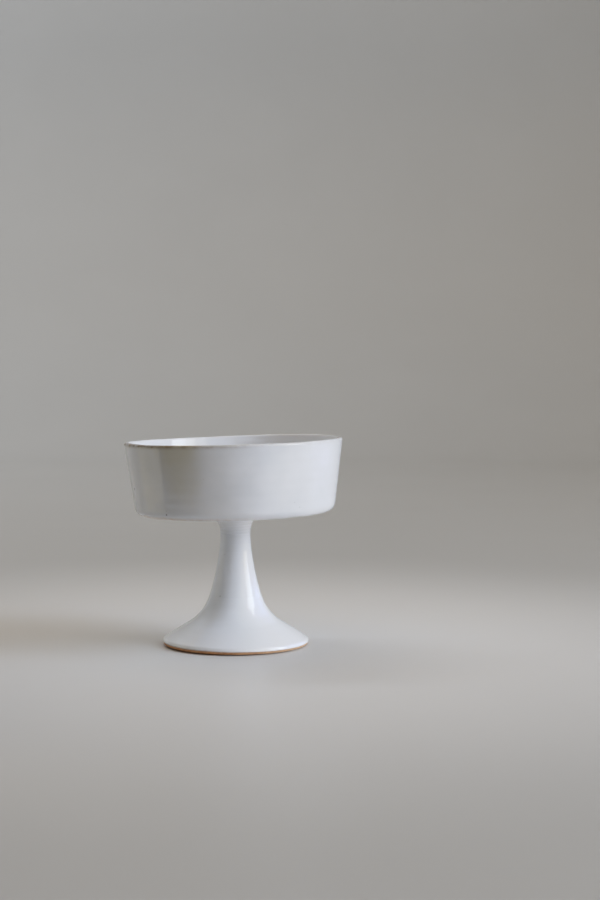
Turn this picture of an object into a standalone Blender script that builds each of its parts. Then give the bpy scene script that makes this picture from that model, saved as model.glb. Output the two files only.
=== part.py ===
# Footed dessert cup in glazed stoneware: a straight-walled bowl on a hollow trumpet pedestal.
# The bowl and the pedestal were thrown apart. Their scored faces are stuck together with slip,
# and a soft coil of clay is worked into a cove round the join.
# Metres, +Z up, with the origin on the table at the centre of the foot ring.

from math import acos, asin, atan2, ceil, cos, pi, radians, sin, tan

import bpy
from mathutils import Vector
from mathutils.geometry import interpolate_bezier

# Bowl, measured up from its underside
RIM_RADIUS = 0.05765
RIM_THICKNESS = 0.0023
RIM_ROUND = 0.0011
BOWL_HEIGHT = 0.0387
BASE_RADIUS = 0.0524
BASE_CORNER = 0.0047
LOW_WALL_THICKNESS = 0.0038
FLOOR_THICKNESS = 0.0046
FLOOR_CORNER = 0.0090

# Join, where the bowl sits a little out of level with its +X side high
JOIN_HEIGHT = 0.0699
BOWL_TILT = radians(1.35)
SLIP_THICKNESS = 0.0009
SCORE_RADII = (0.0024, 0.0048)
SCORE_WIDTH = 0.0014
SCORE_DEPTH = 0.0008

# Neck and coil
NECK_HEIGHT = 0.0588
NECK_RADIUS = 0.0079
TENON_RADIUS = 0.0068
COVE_RADIUS = 0.0132

# Stem, a curve from the upright neck to the waist, where the bend into the foot starts
NECK_PULL = 0.0082
WAIST_PULL = 0.0110
WAIST_SLOPE = radians(71)
BEND_RADIUS = 0.0255

# Foot, a straight cone that ends in a rounded edge over a band of bare clay
FOOT_SLOPE = radians(31.5)
FOOT_RUN = 0.0148
FOOT_RADIUS = 0.0386
FOOT_EDGE_ROUND = 0.0024
FOOT_EDGE_HEIGHT = 0.0019
BARE_BAND_HEIGHT = 0.0014
BARE_BAND_RADIUS = 0.0382
FOOT_CHAMFER = 0.0004
FOOT_RING_INNER = 0.0326
FOOT_RING_DEPTH = 0.0021

# Hollow inside the pedestal
PEDESTAL_WALL = 0.0046
HOLLOW_SHOULDER = 0.0410
HOLLOW_TOP = 0.0480

GAP = 0.0003
TURNS = 64
SLIP_TURNS = 32
STEM_STEPS = 13
DOME_STEPS = 6
CHORD_ERROR = 0.00003
MERGE_DISTANCE = 0.00001

# Direction of the foot's cone in the profile's plane, going down it
CONE_RUN = Vector((cos(FOOT_SLOPE), -sin(FOOT_SLOPE)))

WHITE_GLAZE = (0.72, 0.73, 0.76)
FIRED_CLAY = (0.42, 0.24, 0.13)


def clear_scene():
    for old in list(bpy.data.objects):
        bpy.data.objects.remove(old)


def new_collection(name):
    collection = bpy.data.collections.new(name)
    bpy.context.scene.collection.children.link(collection)
    return collection


def surface(name, colour, roughness):
    material = bpy.data.materials.new(name)
    material.use_nodes = True
    shader = material.node_tree.nodes["Principled BSDF"]
    shader.inputs["Base Color"].default_value = (*colour, 1.0)
    shader.inputs["Roughness"].default_value = roughness
    shader.inputs["Metallic"].default_value = 0.0
    return material


def arc(centre, radius, start, end):
    # points on a circle, both ends included, with chords that stay close to it
    chord_turn = 2 * acos(1 - CHORD_ERROR / radius)
    count = max(2, ceil(abs(end - start) / chord_turn))
    turns = [start + (end - start) * i / count for i in range(count + 1)]
    return [Vector((centre[0] + radius * cos(t), centre[1] + radius * sin(t))) for t in turns]


def rounded(corners):
    # an outline through (radius, height, rounding) corners, each rounding made an arc
    points = []
    for i, (radius, height, rounding) in enumerate(corners):
        corner = Vector((radius, height))
        if rounding == 0:
            points.append(corner)
            continue
        before = (Vector(corners[i - 1][:2]) - corner).normalized()
        after = (Vector(corners[i + 1][:2]) - corner).normalized()
        half = before.angle(after) / 2
        centre = corner + (before + after).normalized() * rounding / sin(half)
        first = corner + before * rounding / tan(half) - centre
        last = corner + after * rounding / tan(half) - centre
        start = atan2(first.y, first.x)
        sweep = (atan2(last.y, last.x) - start + pi) % (2 * pi) - pi
        points += arc(centre, rounding, start, start + sweep)
    return points


def score_rings(height, depth, width):
    # the scored rings of a joint face, walked from the outermost in towards the axis
    corners = []
    for radius in reversed(SCORE_RADII):
        outer = radius + width / 2
        inner = radius - width / 2
        corners += [(outer, height), (outer, height + depth), (inner, height + depth), (inner, height)]
    return [Vector(corner) for corner in corners]


def turned(name, profile, collection, steps=TURNS, closed=False):
    # a profile of (radius, height) points spun once round the Z axis
    count = len(profile)
    edges = [(i, i + 1) for i in range(count - 1)]
    if closed:
        edges.append((count - 1, 0))
    mesh = bpy.data.meshes.new(name)
    mesh.from_pydata([(radius, 0.0, height) for radius, height in profile], edges, [])
    piece = bpy.data.objects.new(name, mesh)
    collection.objects.link(piece)
    spin = piece.modifiers.new("Turn", "SCREW")
    spin.axis = "Z"
    spin.angle = 2 * pi
    spin.steps = steps
    spin.render_steps = steps
    spin.use_merge_vertices = True
    spin.merge_threshold = MERGE_DISTANCE
    spin.use_smooth_shade = True
    return piece


def trim(piece, cutter):
    cut = piece.modifiers.new("Trim", "BOOLEAN")
    cut.operation = "DIFFERENCE"
    cut.object = cutter


def bowl_profile():
    # from the middle of the floor, up inside, over the rim, down outside and in to the axis
    shell = rounded([
        (0.0, FLOOR_THICKNESS, 0),
        (BASE_RADIUS - LOW_WALL_THICKNESS, FLOOR_THICKNESS, FLOOR_CORNER),
        (RIM_RADIUS - RIM_THICKNESS, BOWL_HEIGHT, RIM_ROUND),
        (RIM_RADIUS, BOWL_HEIGHT, RIM_ROUND),
        (BASE_RADIUS, 0.0, BASE_CORNER),
        (0.0, 0.0, 0),
    ])
    return shell[:-1] + score_rings(0.0, SCORE_DEPTH, SCORE_WIDTH) + shell[-1:]


def slip_profile():
    # a thin disc that fills the join, with ridges keyed into the scored rings of both faces
    top = -GAP
    bottom = top - SLIP_THICKNESS
    edge = TENON_RADIUS - GAP
    ridge = SCORE_WIDTH - 2 * GAP
    upper = score_rings(top, SCORE_DEPTH, ridge)[::-1]
    lower = score_rings(bottom, -SCORE_DEPTH, ridge)
    side = [Vector((edge, top)), Vector((edge, bottom))]
    return [Vector((0.0, top))] + upper + side + lower + [Vector((0.0, bottom))]


def join_space_profile():
    # all that the slip and the bowl take up, cut from the tops of the stem and the coil
    stem_top = -SLIP_THICKNESS - 2 * GAP
    step = TENON_RADIUS + GAP / 2
    outline = [
        (0.0, BOWL_HEIGHT),
        (RIM_RADIUS, BOWL_HEIGHT),
        (RIM_RADIUS, -GAP),
        (step, -GAP),
        (step, stem_top),
    ]
    rings = score_rings(stem_top, -SCORE_DEPTH, SCORE_WIDTH)
    return [Vector(point) for point in outline] + rings + [Vector((0.0, stem_top))]


def coil_profile():
    # a collar with a cove outside and a straight bore, standing on the stem's shoulder
    base = NECK_HEIGHT + GAP
    bore = TENON_RADIUS + GAP
    top = JOIN_HEIGHT + GAP
    rise = asin((top - base) / COVE_RADIUS)
    cove = arc((NECK_RADIUS + COVE_RADIUS, base), COVE_RADIUS, pi - rise, pi)
    return [Vector((bore, top))] + cove + [Vector((bore, base))]


def foot_edge():
    # the rounded edge, from the end of the foot's cone round to the top of the bare band
    centre = (FOOT_RADIUS - FOOT_EDGE_ROUND, FOOT_EDGE_HEIGHT)
    end = asin((BARE_BAND_HEIGHT - FOOT_EDGE_HEIGHT) / FOOT_EDGE_ROUND)
    return arc(centre, FOOT_EDGE_ROUND, pi / 2 - FOOT_SLOPE, end)


def flare_curve():
    # the pedestal's outside from the neck down to the top of the foot's cone: stem and bend
    cone_top = foot_edge()[0] - CONE_RUN * FOOT_RUN
    bend_centre = cone_top + Vector((sin(FOOT_SLOPE), cos(FOOT_SLOPE))) * BEND_RADIUS
    bend = arc(bend_centre, BEND_RADIUS, 3 * pi / 2 - WAIST_SLOPE, 3 * pi / 2 - FOOT_SLOPE)
    neck = Vector((NECK_RADIUS, NECK_HEIGHT))
    neck_handle = neck - Vector((0.0, NECK_PULL))
    waist_handle = bend[0] - Vector((cos(WAIST_SLOPE), -sin(WAIST_SLOPE))) * WAIST_PULL
    stem = interpolate_bezier(neck, neck_handle, waist_handle, bend[0], STEM_STEPS)
    return [point.to_2d() for point in stem] + bend[1:]


def inset(point, along):
    # the place inside the pedestal's wall from a point of its outside
    return point + Vector((along.y, -along.x)) * PEDESTAL_WALL


def hollow_curve(outside):
    # the outside set in by the wall's thickness, from the foot ring up to a domed end in the stem
    cone_end = inset(outside[-1], CONE_RUN)
    ring_top = cone_end - CONE_RUN * (FOOT_RING_DEPTH - cone_end.y) / sin(FOOT_SLOPE)
    side = [ring_top]
    for after, point, before in zip(outside[::-1], outside[-2::-1], outside[-3::-1]):
        inner = inset(point, (after - before).normalized())
        if inner.y < HOLLOW_SHOULDER:
            side.append(inner)
    last = side[-1]
    dome = []
    for i in range(1, DOME_STEPS + 1):
        turn = pi / 2 * i / DOME_STEPS
        dome.append(Vector((last.x * cos(turn), last.y + (HOLLOW_TOP - last.y) * sin(turn))))
    dome[-1].x = 0.0
    return side + dome


def pedestal_profile():
    # from the axis over the tenon and shoulder, down the flare, under the foot ring and up inside
    flare = flare_curve()
    edge = foot_edge()
    tenon_top = JOIN_HEIGHT + GAP
    tenon = [(0.0, tenon_top), (TENON_RADIUS, tenon_top), (TENON_RADIUS, NECK_HEIGHT)]
    foot = [
        (BARE_BAND_RADIUS, BARE_BAND_HEIGHT),
        (BARE_BAND_RADIUS, FOOT_CHAMFER),
        (BARE_BAND_RADIUS - FOOT_CHAMFER, 0.0),
        (FOOT_RING_INNER, 0.0),
    ]
    outside = [Vector(point) for point in tenon] + flare + edge
    return outside + [Vector(point) for point in foot] + hollow_curve(flare + edge[:1])


clear_scene()
cup = new_collection("dessert_cup")
cutters = new_collection("cutters")

join = bpy.data.objects.new("join_plane", None)
join.location = (0.0, 0.0, JOIN_HEIGHT)
join.rotation_euler = (0.0, -BOWL_TILT, 0.0)
join.empty_display_size = TENON_RADIUS
cup.objects.link(join)

bowl = turned("bowl", bowl_profile(), cup)
slip = turned("joint_slip", slip_profile(), cup, steps=SLIP_TURNS)
coil = turned("neck_coil", coil_profile(), cup, closed=True)
pedestal = turned("pedestal", pedestal_profile(), cup)
join_space = turned("join_space", join_space_profile(), cutters)

for piece in (bowl, slip, join_space):
    piece.parent = join

for piece in (coil, pedestal):
    trim(piece, join_space)

# turned by half a facet, so that its edges fall between those of the pieces it trims
join_space.rotation_euler.z = pi / TURNS
join_space.hide_render = True
join_space.display_type = "WIRE"

bowl.data.materials.append(surface("bowl white glaze", WHITE_GLAZE, 0.15))
pedestal.data.materials.append(surface("pedestal white glaze", WHITE_GLAZE, 0.15))
coil.data.materials.append(surface("coil white glaze", WHITE_GLAZE, 0.2))
slip.data.materials.append(surface("fired slip", FIRED_CLAY, 0.8))
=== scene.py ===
# Looks of the footed dessert cup: thrown white stoneware on a bare, toasted foot ring.
# Lengths in the pieces' dictionaries are millimetres, and the finished meshes are in the frame's metres.

from math import acos, asin, atan2, ceil, cos, exp, pi, radians, sin, tan

import bpy
from mathutils import Matrix, Vector
from mathutils.geometry import interpolate_bezier


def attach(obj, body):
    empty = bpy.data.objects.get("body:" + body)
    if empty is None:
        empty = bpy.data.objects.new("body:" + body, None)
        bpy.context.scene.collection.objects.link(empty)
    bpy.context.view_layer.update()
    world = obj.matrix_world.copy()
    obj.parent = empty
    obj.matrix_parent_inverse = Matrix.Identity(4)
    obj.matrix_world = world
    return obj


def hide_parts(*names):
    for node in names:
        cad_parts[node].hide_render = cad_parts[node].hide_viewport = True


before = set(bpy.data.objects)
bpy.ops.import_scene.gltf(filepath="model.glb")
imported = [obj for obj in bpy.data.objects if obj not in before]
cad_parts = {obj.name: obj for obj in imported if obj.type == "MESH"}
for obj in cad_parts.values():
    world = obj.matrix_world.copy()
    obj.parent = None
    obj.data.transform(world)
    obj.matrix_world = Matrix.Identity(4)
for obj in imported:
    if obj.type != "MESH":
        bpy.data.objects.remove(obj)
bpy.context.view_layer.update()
print("frame loaded:", ", ".join(sorted(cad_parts)))

mm = 0.001


def hexColour(text):
    # sRGB hex to the linear colour that sockets take
    parts = [int(text[i:i + 2], 16) / 255 for i in (1, 3, 5)]
    linear = [c / 12.92 if c <= 0.04045 else ((c + 0.055) / 1.055) ** 2.4 for c in parts]
    return (*linear, 1.0)


def addNode(tree, kind, feeds=None, out=0, **settings):
    # adds a node, sets it, links or fills its inputs, and gives back one of its outputs. Inputs go by number
    # where names repeat: Map Range has value, from and to, and a colour Mix has factor 0, colours 6 and 7
    node = tree.nodes.new(kind)
    for name, value in settings.items():
        setattr(node, name, value)
    for key, value in (feeds or {}).items():
        if isinstance(value, bpy.types.NodeSocket):
            tree.links.new(value, node.inputs[key])
        else:
            node.inputs[key].default_value = value
    return node.outputs[out] if node.outputs else node


def newFinish(name):
    # a fresh material and its shader
    material = bpy.data.materials.new(name)
    material.use_nodes = True
    return material, material.node_tree.nodes["Principled BSDF"]


# Outlines: points of (radius, height) in a plane through the turning axis

def fade(value, low, high):
    # 0 at low, 1 at high, smooth between
    share = min(1.0, max(0.0, (value - low) / (high - low)))
    return share * share * (3 - 2 * share)


def bump(value, middle, width):
    # 1 at the middle, falling away on both sides
    return exp(-((value - middle) / width) ** 2)


def arcPoints(centre, radius, start, end, chordError=0.002):
    count = max(2, ceil(abs(end - start) / (2 * acos(1 - chordError / radius))))
    turns = [start + (end - start) * i / count for i in range(count + 1)]
    return [Vector((centre[0] + radius * cos(t), centre[1] + radius * sin(t))) for t in turns]


def rounded(corners):
    # an outline through (radius, height, rounding) corners, each rounding made an arc
    points = []
    for i, (radius, height, rounding) in enumerate(corners):
        corner = Vector((radius, height))
        if rounding == 0:
            points.append(corner)
            continue
        before = (Vector(corners[i - 1][:2]) - corner).normalized()
        after = (Vector(corners[i + 1][:2]) - corner).normalized()
        half = before.angle(after) / 2
        centre = corner + (before + after).normalized() * rounding / sin(half)
        first = corner + before * rounding / tan(half) - centre
        last = corner + after * rounding / tan(half) - centre
        start = atan2(first.y, first.x)
        sweep = (atan2(last.y, last.x) - start + pi) % (2 * pi) - pi
        points += arcPoints(centre, rounding, start, start + sweep)
    return points


def divided(points, stepAt):
    # the same outline with its long stretches cut up, as fine as stepAt(radius, height) asks
    fine = [points[0]]
    for a, b in zip(points, points[1:]):
        middle = (a + b) / 2
        count = max(1, ceil((b - a).length / stepAt(middle.x, middle.y)))
        fine += [a.lerp(b, (i + 1) / count) for i in range(count)]
    return fine


def scoreRings(height, depth):
    # scored rings of a joint face, from the outermost in towards the axis
    corners = []
    for radius in reversed(join["scoreRadii"]):
        outer = radius + join["scoreWidth"] / 2
        inner = radius - join["scoreWidth"] / 2
        corners += [(outer, height), (outer, height + depth), (inner, height + depth), (inner, height)]
    return [Vector(corner) for corner in corners]


# One tree turns an outline into clay: it spins it, then moves the skin by the marks that the outline's
# points carry, which are run (length from the start), rings (throwing spiral), dents (hand's unevenness),
# line (depth of a turned groove), edge (an edge that wanders up and down), pool (glaze that lies thick; on
# the coil it also brightens the neck in the bowl's shade, which is painted light), thin (glaze that breaks
# brown over the clay; at the bowl's rim also painted shade, strongest on the shaded left), warm (glaze that
# lets a little of the clay through; at the bowl's lower corner also warm bounce light painted in) and bare
# (no glaze).

markNames = ("run", "rings", "dents", "line", "edge", "pool", "thin", "warm", "bare")
weldWithin = 0.001 * mm    # closes the seam and the poles
bareFrom = 0.6             # a face whose bare mark is above this has no glaze


def thrownFormTree():
    tree = bpy.data.node_groups.new("thrown form", "GeometryNodeTree")
    kinds = {
        "Profile": "Geometry", "Turns": "Int", "Ring pitch": "Float", "Ring depth": "Float",
        "Dent size": "Float", "Dent depth": "Float", "Wander size": "Float", "Edge wander": "Float",
        "Seed": "Float", "Coat": "Material", "Body": "Material",
    }
    for name, kind in kinds.items():
        tree.interface.new_socket(name, in_out="INPUT", socket_type="NodeSocket" + kind)
    tree.interface.new_socket("Form", in_out="OUTPUT", socket_type="NodeSocketGeometry")
    given = tree.nodes.new("NodeGroupInput").outputs

    # a grid with a row for each point of the outline and a column for each step round
    rows = addNode(tree, "GeometryNodeAttributeDomainSize", {0: given["Profile"]}, component="MESH")
    columns = addNode(tree, "FunctionNodeIntegerMath", {0: given["Turns"], 1: 1}, operation="ADD")
    form = addNode(tree, "GeometryNodeMeshGrid", {"Vertices X": rows, "Vertices Y": columns})
    index = addNode(tree, "GeometryNodeInputIndex")
    row = addNode(tree, "FunctionNodeIntegerMath", {0: index, 1: columns}, operation="DIVIDE_FLOOR")
    column = addNode(tree, "FunctionNodeIntegerMath", {0: index, 1: columns}, operation="MODULO")
    part = addNode(tree, "ShaderNodeMath", {0: column, 1: given["Turns"]}, operation="DIVIDE")
    angle = addNode(tree, "ShaderNodeMath", {0: part, 1: 2 * pi}, operation="MULTIPLY")
    place = addNode(tree, "GeometryNodeInputPosition")
    spot = addNode(tree, "GeometryNodeSampleIndex", {0: given["Profile"], 1: place, 2: row},
                   data_type="FLOAT_VECTOR")
    spun = addNode(tree, "ShaderNodeVectorRotate", {"Vector": spot, "Angle": angle}, rotation_type="Z_AXIS")
    form = addNode(tree, "GeometryNodeSetPosition", {"Geometry": form, "Position": spun})
    mark = {}
    for name in markNames:
        held = addNode(tree, "GeometryNodeInputNamedAttribute", {"Name": name}, data_type="FLOAT")
        value = addNode(tree, "GeometryNodeSampleIndex", {0: given["Profile"], 1: held, 2: row},
                        data_type="FLOAT")
        form = addNode(tree, "GeometryNodeStoreNamedAttribute",
                       {"Geometry": form, "Name": name, "Value": value}, data_type="FLOAT", domain="POINT")
        mark[name] = held
    form = addNode(tree, "GeometryNodeMergeByDistance", {"Geometry": form, "Distance": weldWithin})

    # how far the skin moves along its normal: throwing spiral, dents and turned grooves
    x = addNode(tree, "ShaderNodeSeparateXYZ", {0: place}, out="X")
    y = addNode(tree, "ShaderNodeSeparateXYZ", {0: place}, out="Y")
    around = addNode(tree, "ShaderNodeMath", {0: y, 1: x}, operation="ARCTAN2")
    lap = addNode(tree, "ShaderNodeMath", {0: mark["run"], 1: given["Ring pitch"]}, operation="DIVIDE")
    phase = addNode(tree, "ShaderNodeMath", {0: lap, 1: 2 * pi, 2: around}, operation="MULTIPLY_ADD")
    wave = addNode(tree, "ShaderNodeMath", {0: phase}, operation="SINE")
    dentScale = addNode(tree, "ShaderNodeMath", {0: 1.0, 1: given["Dent size"]}, operation="DIVIDE")
    uneven = addNode(tree, "ShaderNodeTexNoise",
                     {"Vector": place, "W": given["Seed"], "Scale": dentScale, "Detail": 1.0},
                     noise_dimensions="4D")
    swing = addNode(tree, "ShaderNodeMath", {0: uneven, 1: 2.0, 2: -1.0}, operation="MULTIPLY_ADD")  # -1 to 1
    lift = 0.0
    for name, depth, shape in (("rings", given["Ring depth"], wave), ("dents", given["Dent depth"], swing)):
        amount = addNode(tree, "ShaderNodeMath", {0: mark[name], 1: depth}, operation="MULTIPLY")
        lift = addNode(tree, "ShaderNodeMath", {0: amount, 1: shape, 2: lift}, operation="MULTIPLY_ADD")
    worn = addNode(tree, "ShaderNodeMath", {0: uneven, 1: -2.0}, operation="MULTIPLY")   # grooves come and go
    lift = addNode(tree, "ShaderNodeMath", {0: mark["line"], 1: worn, 2: lift}, operation="MULTIPLY_ADD")
    normal = addNode(tree, "GeometryNodeInputNormal")
    push = addNode(tree, "ShaderNodeVectorMath", {0: normal, "Scale": lift}, operation="SCALE")

    # edges that a hand left a little high or low
    wanderScale = addNode(tree, "ShaderNodeMath", {0: 1.0, 1: given["Wander size"]}, operation="DIVIDE")
    drift = addNode(tree, "ShaderNodeTexNoise",
                    {"Vector": place, "W": given["Seed"], "Scale": wanderScale, "Detail": 2.0},
                    noise_dimensions="4D")
    sway = addNode(tree, "ShaderNodeMath", {0: drift, 1: 2.0, 2: -1.0}, operation="MULTIPLY_ADD")
    reach = addNode(tree, "ShaderNodeMath", {0: mark["edge"], 1: given["Edge wander"]}, operation="MULTIPLY")
    rise = addNode(tree, "ShaderNodeMath", {0: reach, 1: sway}, operation="MULTIPLY")
    upward = addNode(tree, "ShaderNodeCombineXYZ", {"Z": rise})
    move = addNode(tree, "ShaderNodeVectorMath", {0: push, 1: upward}, operation="ADD")
    form = addNode(tree, "GeometryNodeSetPosition", {"Geometry": form, "Offset": move})

    form = addNode(tree, "GeometryNodeSetShadeSmooth", {"Geometry": form})
    form = addNode(tree, "GeometryNodeRealizeInstances", {"Geometry": form})
    form = addNode(tree, "GeometryNodeSetMaterial", {"Geometry": form, "Material": given["Coat"]})
    isBare = addNode(tree, "ShaderNodeMath", {0: mark["bare"], 1: bareFrom}, operation="GREATER_THAN")
    form = addNode(tree, "GeometryNodeSetMaterial",
                   {"Geometry": form, "Selection": isBare, "Material": given["Body"]})
    addNode(tree, "NodeGroupOutput", {"Form": form})
    return tree


def thrown(name, tree, outline, marks, settings):
    # an outline in mm with its points' marks, made a plain mesh in metres through the tree
    mesh = bpy.data.meshes.new(name)
    edges = [(i, i + 1) for i in range(len(outline) - 1)]
    mesh.from_pydata([(p.x * mm, 0.0, p.y * mm) for p in outline], edges, [])
    runs = [0.0]
    for a, b in zip(outline, outline[1:]):
        runs.append(runs[-1] + (b - a).length * mm)
    for label in markNames:
        values = runs if label == "run" else [m.get(label, 0.0) for m in marks]
        mesh.attributes.new(label, "FLOAT", "POINT").data.foreach_set("value", values)
    piece = bpy.data.objects.new(name, mesh)
    bpy.context.scene.collection.objects.link(piece)
    modifier = piece.modifiers.new("Throw", "NODES")
    modifier.node_group = tree
    for item in tree.interface.items_tree:
        if item.in_out == "INPUT" and item.name in settings:
            modifier[item.identifier] = settings[item.name]
    ready = piece.evaluated_get(bpy.context.evaluated_depsgraph_get())
    piece.data = bpy.data.meshes.new_from_object(ready)
    piece.modifiers.clear()
    piece.data.name = name
    bpy.data.meshes.remove(mesh)
    print(f"{name}: {len(outline)} rows, {sum(len(f.vertices) - 2 for f in piece.data.polygons)} triangles")
    return piece


def leaned(piece, low, high, slope):
    # lifts the +X side and lowers the other, not at all below low and by the whole slope above high
    for vertex in piece.data.vertices:
        vertex.co.z += vertex.co.x * slope * fade(vertex.co.z / mm, low, high)


# White stoneware glaze, a tin-white dipped coat with a clear gloss. The eye sees a cool white that is never
# quite even, a warm break where it thins over an edge, drawn strongest on the shaded left as painted shade,
# a darker, warmer patch of painted shade on the bowl's front left, and a few iron specks from the clay below.
glaze = {
    "white": "#e4e7ed", "cloud": "#dadee4", "cloudSize": 26.0, "cloudEdge": (0.35, 0.65),
    "poolWhite": "#eff3f9",
    # a darker, warmer patch of painted shade on the bowl's front left: its place, how tall it is drawn,
    # its soft edge and raggedness
    "paintedShadeTint": "#d1d0c7", "paintedShadePlace": (-28.0, -47.0, 108.0), "paintedShadeSquash": 0.5, "paintedShadeEdge": (5.0, 18.0),
    "paintedShadeRagged": 20.0,
    # breaks over the clay, in patches and weaker from left to right: partly glaze breaks, partly painted
    # shade on the shaded left; the warm one at the bowl's lower corner also paints in warm bounce light
    "thinBreak": "#897559", "warmBreak": "#bda283", "patchSize": 3.2, "patchEdge": (0.3, 0.7),
    "patchLeast": 0.45, "shadedLeft": -45.0, "litRight": 15.0, "litLeast": 0.1, "breakRoughness": 0.25,
    # sparse specks all round, and how far and how finely every speck's edge bleeds
    "ironSpeck": "#4c4238", "speckSpacing": 7.5, "speckSize": 0.22, "speckCore": 0.4, "speckDarkness": 0.5,
    "bleed": 0.35, "bleedSize": 0.9,
    "roughness": 0.02, "roughnessSpread": 0.03, "ripple": 2.6, "rippleHeight": 0.004, "ior": 1.5,
    # single specks as (place, size, darkness), and the share of the size that is wholly dark
    "specks": (
        ((-52.2, -16.5, 83.7), 1.05, 0.95), ((-34.75, -39.8, 72.3), 0.62, 0.95),
        ((-34.9, -40.1, 74.2), 0.30, 0.45), ((29.9, -44.2, 78.9), 0.50, 0.16),
        ((32.5, -41.9, 76.2), 0.45, 0.22), ((-5.5, -6.7, 48.3), 0.40, 0.25),
        ((-8.1, -10.8, 26.8), 0.45, 0.40),
    ),
    "singleCore": 0.3,
}


def stonewareGlaze():
    material, shader = newFinish("white stoneware glaze")
    tree = material.node_tree
    shader.inputs["IOR"].default_value = glaze["ior"]
    place = addNode(tree, "ShaderNodeTexCoord", out="Object")

    clouds = addNode(tree, "ShaderNodeTexNoise",
                     {"Vector": place, "Scale": 1 / (glaze["cloudSize"] * mm), "Detail": 3.0})
    clear, full = glaze["cloudEdge"]
    spread = addNode(tree, "ShaderNodeMapRange", {0: clouds, 1: clear, 2: full})
    colour = addNode(tree, "ShaderNodeMix",
                     {0: spread, 6: hexColour(glaze["white"]), 7: hexColour(glaze["cloud"])},
                     out=2, data_type="RGBA")

    # a darker, warmer patch on the bowl's front left: painted shade standing in for the dark band there
    squash = (1.0, 1.0, glaze["paintedShadeSquash"])
    squashed = addNode(tree, "ShaderNodeVectorMath", {0: place, 1: squash}, operation="MULTIPLY")
    middle = [c * s * mm for c, s in zip(glaze["paintedShadePlace"], squash)]
    away = addNode(tree, "ShaderNodeVectorMath", {0: squashed, 1: middle}, out="Value",
                   operation="DISTANCE")
    ragged = addNode(tree, "ShaderNodeMath", {0: clouds, 1: glaze["paintedShadeRagged"] * mm, 2: away},
                     operation="MULTIPLY_ADD")
    inner, outer = [(edge + glaze["paintedShadeRagged"] / 2) * mm for edge in glaze["paintedShadeEdge"]]
    held = addNode(tree, "ShaderNodeMapRange", {0: ragged, 1: inner, 2: outer, 3: 1.0, 4: 0.0},
                   interpolation_type="SMOOTHSTEP")
    colour = addNode(tree, "ShaderNodeMix", {0: held, 6: colour, 7: hexColour(glaze["paintedShadeTint"])},
                     out=2, data_type="RGBA")

    # where it lies thick it is whiter; on the coil this also brightens the neck in the bowl's shade, which is
    # painted light
    pooled = addNode(tree, "ShaderNodeAttribute", out="Fac", attribute_name="pool")
    colour = addNode(tree, "ShaderNodeMix", {0: pooled, 6: colour, 7: hexColour(glaze["poolWhite"])},
                     out=2, data_type="RGBA")

    # edges let the clay through, in patches, and drawn stronger on the shaded left than on the lit right,
    # which is painted shade
    patches = addNode(tree, "ShaderNodeTexNoise",
                      {"Vector": place, "Scale": 1 / (glaze["patchSize"] * mm), "Detail": 2.0})
    clear, full = glaze["patchEdge"]
    patchy = addNode(tree, "ShaderNodeMapRange",
                     {0: patches, 1: clear, 2: full, 3: glaze["patchLeast"], 4: 1.0})
    across = addNode(tree, "ShaderNodeSeparateXYZ", {0: place}, out="X")
    left, right = glaze["shadedLeft"] * mm, glaze["litRight"] * mm
    side = addNode(tree, "ShaderNodeMapRange", {0: across, 1: left, 2: right, 3: 1.0, 4: glaze["litLeast"]})
    patchy = addNode(tree, "ShaderNodeMath", {0: patchy, 1: side}, operation="MULTIPLY")
    for mark in ("warm", "thin"):
        amount = addNode(tree, "ShaderNodeAttribute", out="Fac", attribute_name=mark)
        broken = addNode(tree, "ShaderNodeMath", {0: amount, 1: patchy}, operation="MULTIPLY",
                         use_clamp=True)
        colour = addNode(tree, "ShaderNodeMix", {0: broken, 6: colour, 7: hexColour(glaze[mark + "Break"])},
                         out=2, data_type="RGBA")

    # iron specks: sparse ones all round, then the single ones, with edges that bleed a little
    wobble = addNode(tree, "ShaderNodeTexNoise",
                     {"Vector": place, "Scale": 1 / (glaze["bleedSize"] * mm)}, out="Color")
    stray = addNode(tree, "ShaderNodeVectorMath", {0: wobble, "Scale": glaze["bleed"] * mm},
                    operation="SCALE")
    strayed = addNode(tree, "ShaderNodeVectorMath", {0: place, 1: stray}, operation="ADD")
    cells = addNode(tree, "ShaderNodeTexVoronoi",
                    {"Vector": strayed, "Scale": 1 / (glaze["speckSpacing"] * mm)})
    size = glaze["speckSize"] / glaze["speckSpacing"]
    core = size * glaze["speckCore"]
    specks = addNode(tree, "ShaderNodeMapRange",
                     {0: cells, 1: core, 2: size, 3: glaze["speckDarkness"], 4: 0.0})
    meanStray = glaze["bleed"] / 2 * mm    # added to a single speck's place, so that it shows where it is set
    for spot, width, darkness in glaze["specks"]:
        middle = [c * mm + meanStray for c in spot]
        away = addNode(tree, "ShaderNodeVectorMath", {0: strayed, 1: middle}, out="Value",
                       operation="DISTANCE")
        core = width * glaze["singleCore"] * mm
        mask = addNode(tree, "ShaderNodeMapRange", {0: away, 1: core, 2: width * mm, 3: darkness, 4: 0.0})
        specks = addNode(tree, "ShaderNodeMath", {0: specks, 1: mask}, operation="MAXIMUM")
    colour = addNode(tree, "ShaderNodeMix", {0: specks, 6: colour, 7: hexColour(glaze["ironSpeck"])},
                     out=2, data_type="RGBA")
    tree.links.new(colour, shader.inputs["Base Color"])

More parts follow.
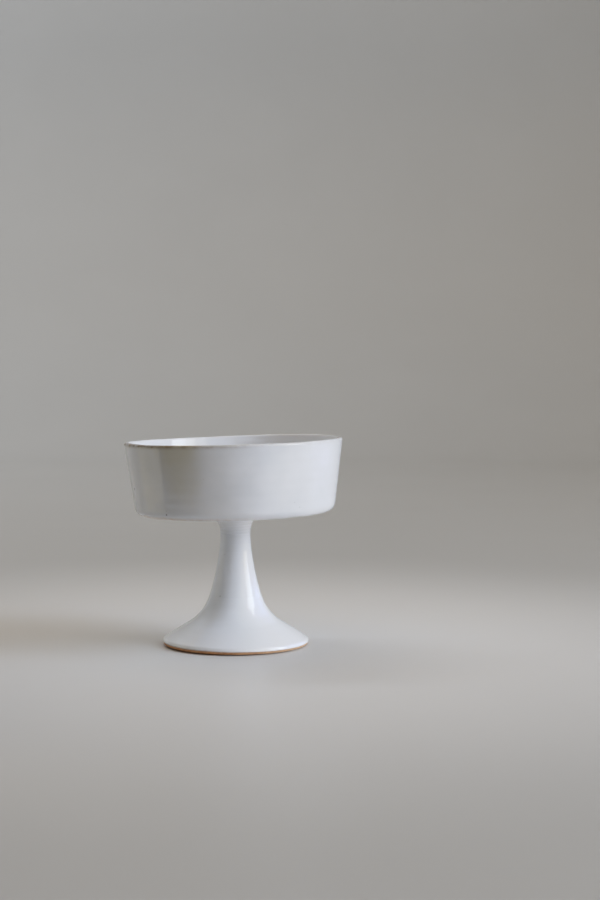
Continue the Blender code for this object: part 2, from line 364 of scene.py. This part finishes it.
    # the gloss is duller where it breaks over an edge
    gloss = addNode(tree, "ShaderNodeMath", {0: clouds, 1: glaze["roughnessSpread"], 2: glaze["roughness"]},
                    operation="MULTIPLY_ADD")
    gloss = addNode(tree, "ShaderNodeMath", {0: broken, 1: glaze["breakRoughness"], 2: gloss},
                    operation="MULTIPLY_ADD")
    tree.links.new(gloss, shader.inputs["Roughness"])
    ripple = addNode(tree, "ShaderNodeTexNoise",
                     {"Vector": place, "Scale": 1 / (glaze["ripple"] * mm), "Detail": 1.5})
    relief = addNode(tree, "ShaderNodeBump", {"Height": ripple, "Distance": glaze["rippleHeight"] * mm})
    tree.links.new(relief, shader.inputs["Normal"])
    return material


# Toasted stoneware clay, fired bare. The eye sees a dry orange-brown with sandy grog, darker in toasted
# patches, and paler towards the right.
clay = {
    "toast": "#cb9468", "dark": "#a56d42", "toastSize": 7.0, "toastEdge": (0.35, 0.68),
    "pale": "#d8b08a", "grog": 0.55, "grogPicked": (0.72, 0.95), "grogMost": 0.6,
    "paleRight": "#bea488", "paleRightFrom": -12.0, "paleRightTo": 30.0, "paleRightMost": 0.85,
    "grit": 0.25, "gritHeight": 0.06, "roughness": 0.82,
}


def toastedClay(name, tone):
    material, shader = newFinish(name)
    tree = material.node_tree
    place = addNode(tree, "ShaderNodeTexCoord", out="Object")
    toasting = addNode(tree, "ShaderNodeTexNoise",
                       {"Vector": place, "Scale": 1 / (clay["toastSize"] * mm), "Detail": 4.0})
    clear, full = clay["toastEdge"]
    spread = addNode(tree, "ShaderNodeMapRange", {0: toasting, 1: clear, 2: full})
    colour = addNode(tree, "ShaderNodeMix", {0: spread, 6: hexColour(tone), 7: hexColour(clay["dark"])},
                     out=2, data_type="RGBA")
    grains = addNode(tree, "ShaderNodeTexVoronoi", {"Vector": place, "Scale": 1 / (clay["grog"] * mm)},
                     out="Color")
    pick = addNode(tree, "ShaderNodeSeparateColor", {0: grains})
    few, many = clay["grogPicked"]
    sandy = addNode(tree, "ShaderNodeMapRange", {0: pick, 1: few, 2: many, 3: 0.0, 4: clay["grogMost"]})
    colour = addNode(tree, "ShaderNodeMix", {0: sandy, 6: colour, 7: hexColour(clay["pale"])},
                     out=2, data_type="RGBA")
    across = addNode(tree, "ShaderNodeSeparateXYZ", {0: place}, out="X")
    left, right = clay["paleRightFrom"] * mm, clay["paleRightTo"] * mm
    towardsRight = addNode(tree, "ShaderNodeMapRange", {0: across, 1: left, 2: right, 3: 0.0, 4: clay["paleRightMost"]})
    colour = addNode(tree, "ShaderNodeMix", {0: towardsRight, 6: colour, 7: hexColour(clay["paleRight"])},
                     out=2, data_type="RGBA")
    tree.links.new(colour, shader.inputs["Base Color"])
    shader.inputs["Roughness"].default_value = clay["roughness"]
    grit = addNode(tree, "ShaderNodeTexNoise",
                   {"Vector": place, "Scale": 1 / (clay["grit"] * mm), "Detail": 2.0})
    relief = addNode(tree, "ShaderNodeBump", {"Height": grit, "Distance": clay["gritHeight"] * mm})
    tree.links.new(relief, shader.inputs["Normal"])
    return material


glazeCoat = stonewareGlaze()
bareClay = toastedClay("toasted stoneware clay", clay["toast"])
firedSlip = toastedClay("fired luting slip", clay["pale"])
form = thrownFormTree()
print("materials and the thrown form tree are ready")

# The join that the pieces share: the bowl sits out of level on it, with its +X side high
join = {
    "height": 69.9, "tilt": radians(1.35), "slip": 0.9, "gap": 0.3,
    "scoreRadii": (2.4, 4.8), "scoreWidth": 1.4, "scoreDepth": 0.8,
    "neckHeight": 58.8, "neckRadius": 7.9, "tenonRadius": 6.8,
    "leanBelow": 1.0,    # the tenon leans as the bowl does, wholly from this far under its top
}

# Bowl, measured up from its underside
bowl = {
    "rimRadius": 57.65, "rimThickness": 2.3, "rimRound": 1.1, "height": 38.7,
    "baseRadius": 52.4, "baseCorner": 4.7, "lowWall": 3.8, "floorThickness": 4.6, "floorCorner": 9.0,
    "rimDip": 1.0, "dipTurn": radians(116), "dipWidth": radians(50), "dipFrom": 20.0,
    # glaze: thick inside, breaking at the rim, and a warm line at the lower corner that is partly thin glaze
    # and partly the floor's warm bounce light painted in
    "pool": 0.7, "rimBreak": 0.7, "rimBreakWidth": 1.0,
    "cornerBreak": 50.5, "cornerBreakWidth": 1.2, "cornerHeight": 2.0,
    # marks of the making: none on the join's face, rings that start below the rim, faint ones outside
    "joinFace": (8.0, 17.0), "joinHeight": 1.0, "ringsStart": (3.0, 9.0), "outsideRings": 0.2,
    "rimWander": 2.6,
    # how finely the outline is cut: at the rim, on the wall and its corner, and on the floor
    "rimDepth": 4.0, "rimStep": 0.2, "wallDepth": 9.0, "wallStep": 0.45, "floorStep": 1.3,
    "Turns": 288, "Ring pitch": 5.2 * mm, "Ring depth": 0.10 * mm, "Dent size": 13 * mm,
    "Dent depth": 0.07 * mm, "Wander size": 24 * mm, "Edge wander": 0.3 * mm, "Seed": 3.0,
}


def bowlStep(radius, height):
    if height > bowl["height"] - bowl["rimDepth"]:
        return bowl["rimStep"]
    onWall = radius > bowl["baseRadius"] - bowl["wallDepth"]
    return bowl["wallStep"] if onWall else bowl["floorStep"]


def thrownBowl():
    b = bowl
    corners = [
        (0.0, b["floorThickness"], 0),
        (b["baseRadius"] - b["lowWall"], b["floorThickness"], b["floorCorner"]),
        (b["rimRadius"] - b["rimThickness"], b["height"], b["rimRound"]),
        (b["rimRadius"], b["height"], b["rimRound"]),
        (b["baseRadius"], 0.0, b["baseCorner"]),
        (0.0, 0.0, 0),
    ]
    shell = rounded(corners)
    outline = divided(shell[:-1] + scoreRings(0.0, join["scoreDepth"]) + shell[-1:], bowlStep)
    top = max(range(len(outline)), key=lambda i: outline[i].y)
    marks = []
    for i, p in enumerate(outline):
        inside = i <= top
        free = fade(p.x, *b["joinFace"]) if p.y < b["joinHeight"] else 1.0
        fromRim = b["height"] - p.y
        rings = fade(fromRim, *b["ringsStart"]) if inside else b["outsideRings"]
        # the warm line at the lower corner: partly thin glaze, partly painted warm bounce light from the
        # floor
        atCorner = bump(p.x, b["cornerBreak"], b["cornerBreakWidth"])
        marks.append({
            "rings": rings * free, "dents": free, "edge": bump(fromRim, 0.0, b["rimWander"]),
            "pool": b["pool"] if inside else 0.0,    # poured in, where the outside was dipped
            "thin": 0.0 if inside else bump(fromRim, b["rimBreak"], b["rimBreakWidth"]),
            "warm": atCorner if p.y < b["cornerHeight"] else 0.0,
        })
    piece = thrown("thrown_bowl", form, outline, marks, {**bowl, "Coat": glazeCoat, "Body": bareClay})
    for vertex in piece.data.vertices:    # the rim dips a little where it sagged, at the back left
        turn = atan2(vertex.co.y, vertex.co.x) - b["dipTurn"]
        sag = bump((turn + pi) % (2 * pi) - pi, 0.0, b["dipWidth"])
        vertex.co.z -= b["rimDip"] * mm * sag * fade(vertex.co.z / mm, b["dipFrom"], b["height"])
    seat = Matrix.Translation((0, 0, join["height"] * mm)) @ Matrix.Rotation(-join["tilt"], 4, "Y")
    piece.data.transform(seat)
    return piece


# Trumpet pedestal: an upright neck, a long curved stem, a bend and a straight cone out to the foot
pedestal = {
    "neckPull": 8.2, "waistPull": 11.0, "waistSlope": radians(71), "bendRadius": 25.5,
    "footSlope": radians(31.5), "footRun": 14.8, "footRadius": 38.6, "edgeRound": 2.4, "edgeHeight": 1.9,
    "bandHeight": 1.8, "bandRadius": 38.2, "glazeLip": 0.16, "footRound": 0.5, "bevel": (2.6, 0.6),
    "lipRound": 0.9, "ringInner": 32.6, "ringDepth": 2.1, "wall": 4.6, "hollowShoulder": 41.0,
    "hollowTop": 48.0,
    # the bare band leans between two heights, and the cone above it comes back to level
    "bandSlope": 0.0085, "bandLean": (0.05, 0.5), "coneLevel": (2.5, 7.0),
    # glaze: the dip ran down and lies thicker below, and breaks as (amount, height over the band, width)
    "poolFoot": 20.0, "poolTop": 62.0, "lipBreak": (0.8, 0.25, 0.3),
    # turned grooves on the stem as (height, depth, width)
    "grooves": ((53.9, 0.035, 0.5), (49.7, 0.03, 0.6), (26.0, 0.04, 0.7)),
    # marks of the making: none on the face that it stands on, faint rings outside, whole ones in the hollow
    "standsTrue": (0.3, 1.2), "ringsStart": (4.0, 10.0), "hollowRings": (3.0, 8.0), "outsideRings": 0.14,
    "dents": 0.8, "bandWander": 0.5, "slack": 0.01,
    # how finely the outline is cut: at the foot's edge, on the stem, on the tenon and in the hollow
    "edgeZone": (37.0, 3.0), "edgeStep": 0.16, "stemFrom": 7.0, "stemStep": 0.45, "stemPoints": 60,
    "tenonStep": 1.0, "hollowStep": 0.9, "domePoints": 12,
    "Turns": 256, "Ring pitch": 6.0 * mm, "Ring depth": 0.18 * mm, "Dent size": 12 * mm,
    "Dent depth": 0.06 * mm, "Wander size": 9 * mm, "Edge wander": 0.16 * mm, "Seed": 8.0,
}


def flareCurve():
    # the outside from the neck down to the end of the cone, and the rounded foot edge after it
    p = pedestal
    coneRun = Vector((cos(p["footSlope"]), -sin(p["footSlope"])))
    edgeCentre = (p["footRadius"] - p["edgeRound"], p["edgeHeight"])
    lipAngle = asin((p["bandHeight"] + p["glazeLip"] - p["edgeHeight"]) / p["edgeRound"])
    edge = arcPoints(edgeCentre, p["edgeRound"], pi / 2 - p["footSlope"], lipAngle)
    coneTop = edge[0] - coneRun * p["footRun"]
    bendCentre = coneTop + Vector((sin(p["footSlope"]), cos(p["footSlope"]))) * p["bendRadius"]
    bend = arcPoints(bendCentre, p["bendRadius"], 3 * pi / 2 - p["waistSlope"], 3 * pi / 2 - p["footSlope"])
    neck = Vector((join["neckRadius"], join["neckHeight"]))
    waistRun = Vector((cos(p["waistSlope"]), -sin(p["waistSlope"])))
    stem = interpolate_bezier(neck, neck - Vector((0, p["neckPull"])), bend[0] - waistRun * p["waistPull"],
                              bend[0], p["stemPoints"])
    return [point.to_2d() for point in stem] + bend[1:], edge, coneRun


def hollowCurve(outside, coneRun):
    # the outside set in by the wall, from the foot ring up to a domed end inside the stem
    p = pedestal
    coneEnd = outside[-1] + Vector((coneRun.y, -coneRun.x)) * p["wall"]
    side = [coneEnd - coneRun * (p["ringDepth"] - coneEnd.y) / sin(p["footSlope"])]
    for after, point, before in zip(outside[::-1], outside[-2::-1], outside[-3::-1]):
        along = (after - before).normalized()
        inner = point + Vector((along.y, -along.x)) * p["wall"]
        if inner.y < p["hollowShoulder"]:
            side.append(inner)
    last = side[-1]
    turns = [pi / 2 * (i + 1) / p["domePoints"] for i in range(p["domePoints"])]
    dome = [Vector((last.x * cos(t), last.y + (p["hollowTop"] - last.y) * sin(t))) for t in turns]
    dome[-1].x = 0.0
    return side + dome


def pedestalStep(radius, height):
    p = pedestal
    zoneRadius, zoneHeight = p["edgeZone"]
    if height < zoneHeight and radius > zoneRadius:
        return p["edgeStep"]
    return p["stemStep"] if height < join["neckHeight"] and radius > p["stemFrom"] else p["tenonStep"]


def trumpetPedestal():
    p = pedestal
    flare, edge, coneRun = flareCurve()
    tenonTop = join["height"] - join["slip"] - 2 * join["gap"]
    tenon = [Vector((0, tenonTop))] + scoreRings(tenonTop, -join["scoreDepth"])[::-1]
    tenon += [Vector((join["tenonRadius"], tenonTop)), Vector((join["tenonRadius"], join["neckHeight"]))]
    lipEnd = edge[-1]
    foot = rounded([
        (lipEnd.x, lipEnd.y, 0),
        (lipEnd.x, p["bandHeight"], p["glazeLip"] * p["lipRound"]),
        (p["bandRadius"], p["bandHeight"], 0),
        (p["bandRadius"], p["bevel"][1], p["footRound"]),
        (p["bandRadius"] - p["bevel"][0], 0.0, 0),
        (p["ringInner"], 0.0, p["footRound"]),
        (p["ringInner"], p["ringDepth"], 0),
    ])
    hollow = hollowCurve(flare + edge[:1], coneRun)
    outline = divided(tenon + flare + edge + foot[1:], pedestalStep)
    outline += divided(foot[-1:] + hollow, lambda radius, height: p["hollowStep"])[1:]
    lowest = min(range(len(outline)), key=lambda i: outline[i].y)
    breakAmount, breakOver, breakWidth = p["lipBreak"]
    marks = []
    for i, q in enumerate(outline):
        outside = i < lowest
        shown = outside and q.y < join["neckHeight"]
        inBand = q.y <= p["bandHeight"] and q.x <= p["bandRadius"] + p["slack"]
        bare = 1.0 if not outside or inBand else 0.0
        line = sum(depth * bump(q.y, high, wide) for high, depth, wide in p["grooves"]) if shown else 0.0
        rings = p["outsideRings"] if shown else 0.0 if outside else fade(q.y, *p["hollowRings"])
        dents = p["dents"] if shown or not outside else 0.0
        atBand = bump(q.y, p["bandHeight"], p["bandWander"])
        atLip = breakAmount * bump(q.y, p["bandHeight"] + breakOver, breakWidth)
        marks.append({
            "rings": rings * fade(q.y, *p["ringsStart"]), "dents": fade(q.y, *p["standsTrue"]) * dents,
            "line": line * mm, "bare": bare, "pool": 1 - fade(q.y, p["poolFoot"], p["poolTop"]),
            "edge": atBand if q.x > p["bandRadius"] - p["slack"] else 0.0,
            "thin": atLip if outside and not bare else 0.0,
        })
    settings = {**pedestal, "Coat": glazeCoat, "Body": bareClay}
    piece = thrown("trumpet_pedestal", form, outline, marks, settings)
    leaned(piece, join["neckHeight"], tenonTop - join["leanBelow"], tan(join["tilt"]))
    leaned(piece, *p["bandLean"], -p["bandSlope"])    # the bare band is deeper on the left,
    leaned(piece, *p["coneLevel"], p["bandSlope"])    # and the cone above it stays level
    return piece


# Cove coil: clay worked round the join, turned in fine rings and feathered into the bowl's underside
coil = {
    # the coil's pool whitens the neck in the bowl's shade: partly the stem's glaze run on, partly painted
    # light
    "coveRadius": 13.2, "feather": 3.0, "sink": 0.06, "warmth": 0.3, "pool": 0.7, "glazeRun": 6.0,
    # where marks start, out from the bore and down from the top, and how finely the outline is cut
    "boreClear": 0.4, "topClear": (0.3, 2.5), "skinFrom": 0.5, "skinStep": 0.13, "boreStep": 2.0,
    "Turns": 224, "Ring pitch": 1.55 * mm, "Ring depth": 0.05 * mm, "Dent size": 6 * mm,
    "Dent depth": 0.05 * mm, "Wander size": 10 * mm, "Edge wander": 0.0, "Seed": 5.0,
}


def coveCoil():
    c = coil
    base = join["neckHeight"]
    top = join["height"] + c["sink"]
    bore = join["tenonRadius"] + join["gap"]
    turn = asin((top - base - c["feather"]) / (c["coveRadius"] - c["feather"]))
    centre = Vector((join["neckRadius"] + c["coveRadius"], base))
    cove = arcPoints(centre, c["coveRadius"], pi - turn, pi)
    inward = Vector((cos(turn), -sin(turn))) * c["feather"]
    feather = arcPoints(cove[0] + inward, c["feather"], pi / 2, pi - turn)
    outline = [Vector((bore, top))] + feather + cove[1:] + [Vector((bore, base)), Vector((bore, top))]
    skin = bore + c["skinFrom"]
    outline = divided(outline, lambda radius, height: c["skinStep"] if radius > skin else c["boreStep"])
    marks = []
    for q in outline:
        shown = fade(q.x, bore + c["boreClear"], join["neckRadius"]) * fade(top - q.y, *c["topClear"])
        above = fade(q.y, base, base + c["glazeRun"])    # the stem's glaze runs on into the coil's
        # the pool here also brightens the neck in the bowl's shade: painted light
        marks.append({
            "rings": shown, "dents": shown, "pool": c["pool"] * above, "warm": c["warmth"] * above * shown,
        })
    piece = thrown("cove_coil", form, outline, marks, {**coil, "Coat": glazeCoat, "Body": bareClay})
    leaned(piece, base, top, tan(join["tilt"]))
    return piece


madePieces = {"bowl": thrownBowl(), "pedestal": trumpetPedestal(), "neck_coil": coveCoil()}
for node, piece in madePieces.items():
    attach(piece, "root")
    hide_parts(node)
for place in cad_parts["joint_slip"].material_slots:
    place.material = firedSlip
print("pieces ride on the root:", ", ".join(piece.name for piece in madePieces.values()))

# Studio: a pale round cove, soft panels that are brightest on the right, glints for the gloss, a warm dim
# room and a dark flag on the left
wholeCup = tuple(madePieces)
studio = {
    "floorRadius": 1500, "sweep": 700, "sweepError": 0.5, "wallHeight": 2200, "floorTurns": 96,
    "floorDrop": 0.05,    # keeps the floor just clear of the foot
    # the paint turns darker from near to far: partly a darker backdrop paint, partly painted shade for the
    # light's falloff away from the cup
    "paint": "#dcdddd", "farPaintAndShade": "#b2b3b2", "paintFade": (90, 420), "paintRoughness": 0.42,
    "brushScale": 6.0, "brushShade": (0.97, 1.03),    # patches to the metre, and how far they vary
    "lens": 69.04, "cameraPlace": (0.0, -0.9105, 0.1539), "pitch": 3.208, "yaw": 2.153,
    "worldColour": "#ffdfae", "worldStrength": 0.53,
    "shoulder": ((0.4, 0.4), (0.55, 0.545), (0.66, 0.635), (0.76, 0.695), (0.88, 0.765), (1.0, 0.87)),
    # panels as (place, aim, width, height, power, colour, use), in metres and watts: a "soft" one lights
    # without showing in the gloss, a "glint" only shows in the gloss, and a "whole" one does both
    "panels": {
        "windowPanel": ((1.2, -0.42, 0.79), (0.0, -0.42, 0.79), 0.60, 1.32, 15.3, "#deebff", "soft"),
        "bowlGlint": ((1.19, -0.49, 0.79), (0.0, -0.49, 0.79), 0.50, 1.32, 13.0, "#fffbe8", "glint"),
        "stemGlint": ((1.19, -0.44, 0.79), (0.0, -0.44, 0.79), 0.80, 1.32, 15.6, "#fff9de", "glint"),
        "nextWindowPanel": ((1.2, -1.03, 0.6), (0.0, -1.03, 0.6), 0.38, 0.85, 3.9, "#e9f2ff", "soft"),
        "nextBowlGlint": ((1.19, -0.95, 0.6), (0.0, -0.95, 0.6), 0.42, 0.85, 5.2, "#fffbe8", "glint"),
        "skyPanel": ((1.2, -0.2725, 1.30), (0.0, -0.2725, 1.30), 0.93, 0.53, 4.9, "#cfe2ff", "soft"),
        "sillPanel": ((1.2, -0.5, 0.0875), (0.0, -0.5, 0.0875), 1.40, 0.175, 2.9, "#fff1e4", "soft"),
        "curtainPanel": ((1.2, -1.825, 0.65), (0.0, -1.825, 0.65), 1.15, 1.30, 7.9, "#fff5ec", "whole"),
        "wallPanel": ((-1.0, 1.0, 1.9), (-1.0, 2.2, 0.5), 1.60, 0.60, 23.0, "#e9f2ff", "soft"),
        "backdropPanel": ((1.62, 0.0, 0.9), (1.62, 0.0, 0.0), 0.75, 3.40, 11.5, "#e6ecf8", "soft"),
        "bouncePanel": ((-0.285, 0.03, 0.055), (0.0, 0.03, 0.055), 0.168, 0.11, 0.030, "#fff2c4", "whole"),
        "farBouncePanel": ((-0.285, 0.307, 0.055), (0.0, 0.307, 0.055), 0.386, 0.11, 0.020, "#fffdf8",
                           "whole"),
    },
    # panels that reach some pieces alone: the low ones are kept off the floor, and each glint is for its own
    "onlyOn": {
        "sillPanel": wholeCup, "bouncePanel": wholeCup, "farBouncePanel": wholeCup,
        "bowlGlint": ("bowl",), "nextBowlGlint": ("bowl",), "stemGlint": ("pedestal", "neck_coil"),
    },
    "spread": {"backdropPanel": 80}, "fullSpread": 180,    # the narrow one lights only the cove beneath it
    # a dark flag on the left, as (feet, height), that the gloss shows as a soft dark band
    "flag": (((-283, -57), (-225, -165), (-142, -245)), 450), "flagColour": "#1d1b19",
}


def paintedCove():
    s = studio
    material, shader = newFinish("matt emulsion paint")
    tree = material.node_tree
    place = addNode(tree, "ShaderNodeTexCoord", out="Object")
    brushed = addNode(tree, "ShaderNodeTexNoise", {"Vector": place, "Scale": s["brushScale"], "Detail": 3.0})
    darkest, lightest = s["brushShade"]
    shade = addNode(tree, "ShaderNodeMapRange", {0: brushed, 3: darkest, 4: lightest})
    level = addNode(tree, "ShaderNodeVectorMath", {0: place, 1: (1, 1, 0)}, operation="MULTIPLY")
    reach = addNode(tree, "ShaderNodeVectorMath", {0: level}, out="Value", operation="LENGTH")
    # further out the paint turns darker: a darker backdrop paint, and painted shade for the light's falloff
    near, far = s["paintFade"]
    away = addNode(tree, "ShaderNodeMapRange", {0: reach, 1: near * mm, 2: far * mm},
                   interpolation_type="SMOOTHSTEP")
    colour = addNode(tree, "ShaderNodeMix",
                     {0: away, 6: hexColour(s["paint"]), 7: hexColour(s["farPaintAndShade"])},
                     out=2, data_type="RGBA")
    colour = addNode(tree, "ShaderNodeMix", {0: 1.0, 6: colour, 7: shade}, out=2, data_type="RGBA",
                     blend_type="MULTIPLY")
    tree.links.new(colour, shader.inputs["Base Color"])
    shader.inputs["Roughness"].default_value = s["paintRoughness"]
    wall = s["floorRadius"] + s["sweep"]
    sweep = arcPoints((s["floorRadius"], s["sweep"]), s["sweep"], -pi / 2, 0.0, s["sweepError"])
    outline = [Vector((0, 0))] + sweep + [Vector((wall, s["wallHeight"]))]
    unmarked = [{}] * len(outline)
    settings = {"Turns": s["floorTurns"], "Ring pitch": 1.0, "Dent size": 1.0, "Wander size": 1.0,
                "Coat": material, "Body": material}    # the sizes only have to be above nothing here
    cove = thrown("studio_cove", form, outline, unmarked, settings)
    cove.data.transform(Matrix.Translation((0, 0, -s["floorDrop"] * mm)))


def darkFlag():
    material, shader = newFinish("black felt")
    shader.inputs["Base Color"].default_value = hexColour(studio["flagColour"])
    shader.inputs["Roughness"].default_value = 1.0
    feet, height = studio["flag"]
    count = len(feet)
    corners = [(*foot, level) for level in (0, height) for foot in feet]
    faces = [(i, i + 1, count + i + 1, count + i) for i in range(count - 1)]
    mesh = bpy.data.meshes.new("dark_flag")
    mesh.from_pydata([Vector(c) * mm for c in corners], [], faces)
    mesh.materials.append(material)
    flag = bpy.data.objects.new("dark_flag", mesh)
    bpy.context.scene.collection.objects.link(flag)
    flag.visible_camera = False
    flag.visible_shadow = False


def lightPanels():
    for name, (place, aim, width, height, power, colour, use) in studio["panels"].items():
        light = bpy.data.lights.new(name, "AREA")
        light.shape = "RECTANGLE"
        light.size = width
        light.size_y = height
        light.energy = power
        light.spread = radians(studio["spread"].get(name, studio["fullSpread"]))
        light.color = hexColour(colour)[:3]
        lamp = bpy.data.objects.new(name, light)
        lamp.location = place
        lamp.rotation_euler = (Vector(aim) - Vector(place)).to_track_quat("-Z", "Y").to_euler()
        lamp.visible_camera = False
        lamp.visible_glossy = use != "soft"
        lamp.visible_diffuse = use != "glint"
        if name in studio["onlyOn"]:
            reached = bpy.data.collections.new("reached by " + name)
            for node in studio["onlyOn"][name]:
                reached.objects.link(madePieces[node])
            lamp.light_linking.receiver_collection = reached
        bpy.context.scene.collection.objects.link(lamp)


def studioCamera():
    camera = bpy.data.cameras.new("camera")
    camera.lens = studio["lens"]
    holder = bpy.data.objects.new("camera", camera)
    holder.location = studio["cameraPlace"]
    holder.rotation_euler = (radians(90 - studio["pitch"]), 0.0, radians(-studio["yaw"]))
    bpy.context.scene.collection.objects.link(holder)
    bpy.context.scene.camera = holder


scene = bpy.context.scene
scene.world = bpy.data.worlds.new("dim room")
scene.world.use_nodes = True
sky = scene.world.node_tree.nodes["Background"]
sky.inputs["Color"].default_value = hexColour(studio["worldColour"])
sky.inputs["Strength"].default_value = studio["worldStrength"]
view = scene.view_settings
view.view_transform = "Standard"
view.use_curve_mapping = True    # a shoulder like film's, so that the lit side stays soft
tone = view.curve_mapping.curves[3]    # the curve that all three channels share
tone.points[-1].location = studio["shoulder"][-1]
for point in studio["shoulder"][:-1]:
    tone.points.new(*point)
view.curve_mapping.update()
paintedCove()
darkFlag()
lightPanels()
studioCamera()
print("studio is lit")
